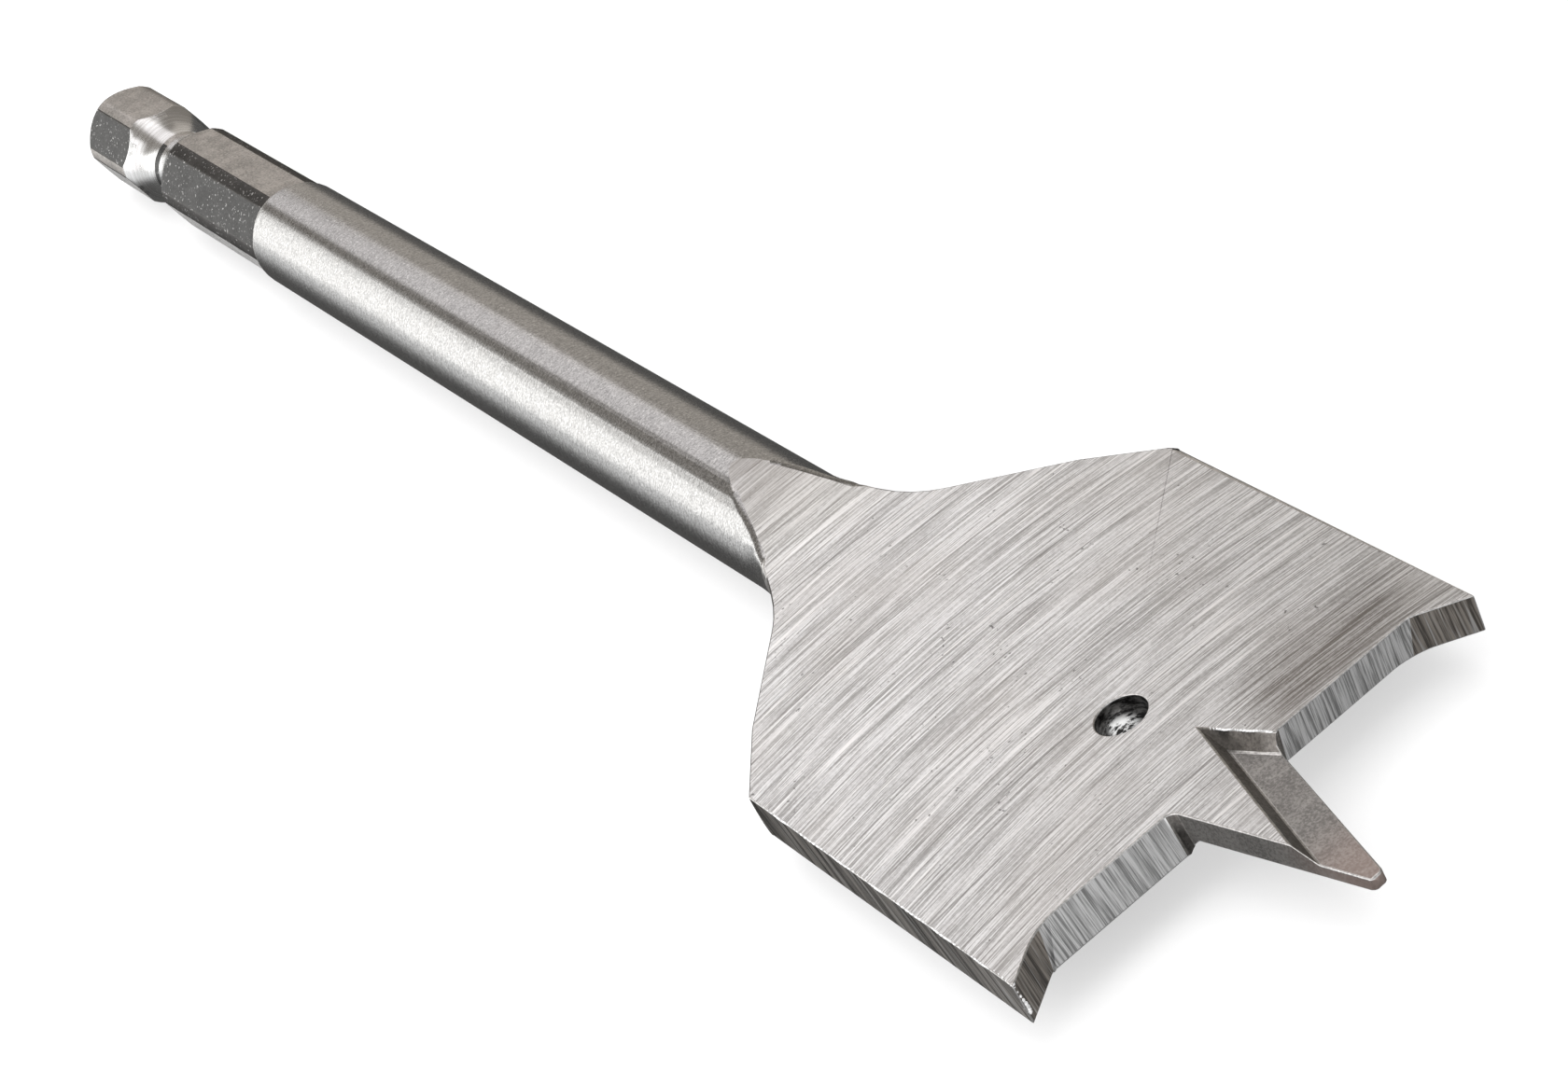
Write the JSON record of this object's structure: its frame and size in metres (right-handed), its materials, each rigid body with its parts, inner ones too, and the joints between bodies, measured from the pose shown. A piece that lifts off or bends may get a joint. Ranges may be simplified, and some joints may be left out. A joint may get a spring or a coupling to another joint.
{
  "type": "spade drill bit",
  "caption": "Flat spade drill bit for wood with a grooved hexagonal quick-change shank, round shaft, ground flat blade with cutting lips, outer spurs and a long centre point.",
  "frame": {"origin": "on the bit's axis, at the rear end of the hexagonal shank", "axes": "+X along the axis from the shank to the centre point, +Y across the blade, +Z square with the blade's flat faces"},
  "size_m": [0.152, 0.028, 0.007],
  "materials": {
    "ground_steel": "blade faces brushed across their width, shaft satin, shank matt, locking groove bright"
  },
  "bodies": {
    "root": {"spade_bit": "ground_steel"}
  },
  "joints": []
}
